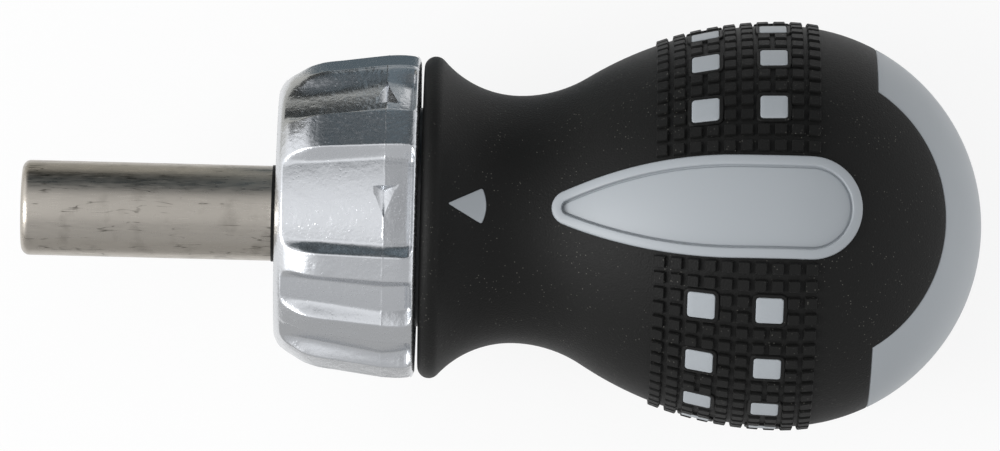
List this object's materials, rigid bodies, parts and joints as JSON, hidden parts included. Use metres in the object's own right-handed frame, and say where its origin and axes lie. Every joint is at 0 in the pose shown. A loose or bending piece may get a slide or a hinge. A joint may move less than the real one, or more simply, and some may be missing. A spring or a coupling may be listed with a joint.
{
  "type": "ratcheting screwdriver",
  "caption": "Stubby ratcheting screwdriver with a hexagon bit socket, a scalloped selector collar and a bulbous two-material grip handle.",
  "frame": {"origin": "centre of the mouth of the bit socket, at the tip of the bit holder", "axes": "+X along the tool's axis from the bit holder to the butt, +Z out of the label, +Y to the label's right seen from the butt"},
  "size_m": [0.1, 0.0426, 0.0418],
  "materials": {
    "turned_steel": "satin turned",
    "magnet_plating": "plated",
    "hardened_steel": "blackened, oiled",
    "bronze": "sintered, matt",
    "spring_steel": "bright drawn",
    "satin_chrome": "cast, satin plated",
    "black_rubber": "moulded, fine matt texture",
    "grey_plastic": "moulded, satin"
  },
  "bodies": {
    "handle": {"handle_core": "grey_plastic", "handle_grip": "black_rubber", "ratchet_body": "hardened_steel", "body_cover": "turned_steel", "cover_screws": "hardened_steel", "front_bush": "bronze", "rear_bush": "bronze", "spring_sleeve": "turned_steel", "stop_pin": "hardened_steel", "detent_spring": "spring_steel", "pawl_spring_tighten": "spring_steel", "pawl_spring_loosen": "spring_steel"},
    "spindle": {"bit_holder": "turned_steel", "bit_magnet": "magnet_plating", "ratchet_gear": "hardened_steel", "thrust_washer": "bronze", "spindle_clip": "hardened_steel"},
    "collar": {"selector_collar": "satin_chrome", "cam_plate": "turned_steel", "collar_snap_ring": "spring_steel", "dust_seal": "black_rubber"},
    "pawl_for_tightening": {"pawl_tighten": "hardened_steel"},
    "pawl_for_loosening": {"pawl_loosen": "hardened_steel"}
  },
  "joints": [
    {"name": "spindle_spin", "type": "hinge", "parent": "handle", "child": "spindle", "pos_m": [0.03, 0, 0], "axis": [1, 0, 0], "continuous": true},
    {"name": "collar_turn", "type": "hinge", "parent": "handle", "child": "collar", "pos_m": [0.034, 0, 0], "axis": [1, 0, 0], "range_deg": [0, 48], "deforming": ["detent_spring"]},
    {"name": "pawl_tighten_lift", "type": "slide", "parent": "handle", "child": "pawl_for_tightening", "axis": [0, 1, 0], "range_m": [0, 0.0014], "deforming": ["pawl_spring_tighten"]},
    {"name": "pawl_loosen_lift", "type": "slide", "parent": "handle", "child": "pawl_for_loosening", "axis": [0, -1, 0], "range_m": [-0.0014, 0], "deforming": ["pawl_spring_loosen"]}
  ],
  "couplings": [
    {"joint": "pawl_tighten_lift", "follows": "collar_turn", "m_per_rad": 0.0016711},
    {"joint": "pawl_loosen_lift", "follows": "collar_turn", "m_per_rad": -0.0016711}
  ]
}
